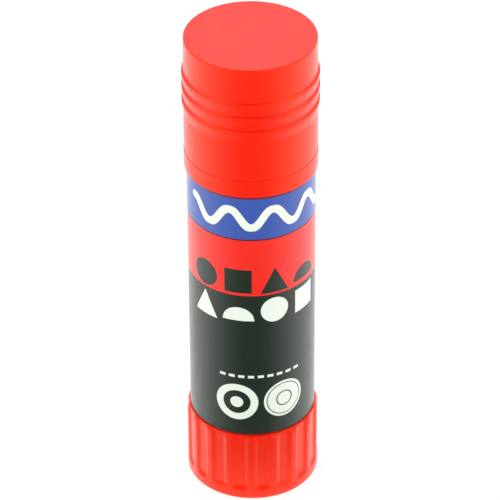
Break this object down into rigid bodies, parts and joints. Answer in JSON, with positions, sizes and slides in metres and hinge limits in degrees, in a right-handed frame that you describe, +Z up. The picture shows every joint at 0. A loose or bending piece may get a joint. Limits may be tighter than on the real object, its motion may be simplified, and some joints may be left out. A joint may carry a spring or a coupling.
{
  "type": "glue stick",
  "caption": "Cylindrical twist-up glue stick with a pull-off cap that has grip rings, a wrapped label on its barrel and a fluted turning knob at the base.",
  "frame": {"origin": "centre of the knob's underside, on the surface the stick stands on", "axes": "+Z up along the barrel's axis towards the cap; -Y is the front of the label, +X is to the right of someone facing that front; the label's seam is at the back"},
  "size_m": [0.03, 0.03, 0.1148],
  "materials": {
    "barrel_white": "moulded polypropylene",
    "label_film": "printed film with blue, red and black bands",
    "cap_red": "moulded polypropylene, satin",
    "knob_red": "moulded polypropylene, satin",
    "screw_white": "moulded polypropylene",
    "carrier_white": "moulded polypropylene",
    "glue_paste": "smooth waxy paste"
  },
  "bodies": {
    "barrel": {"barrel": "barrel_white", "label": "label_film"},
    "knob": {"knob": "knob_red", "spindle": "screw_white"},
    "carrier": {"carrier": "carrier_white", "glue": "glue_paste"},
    "cap": {"cap": "cap_red"}
  },
  "joints": [
    {"name": "knob_turn", "type": "hinge", "parent": "barrel", "child": "knob", "pos_m": [0, 0, 0], "axis": [0, 0, 1], "range_deg": [0, 5400]},
    {"name": "glue_lift", "type": "slide", "parent": "barrel", "child": "carrier", "axis": [0, 0, 1], "range_m": [0, 0.075]},
    {"name": "cap_pull", "type": "slide", "parent": "carrier", "child": "cap", "axis": [0, 0, 1], "range_m": [0, 0.045]}
  ],
  "couplings": [
    {"joint": "knob_turn", "follows": "glue_lift", "rad_per_m": 1256.6}
  ]
}
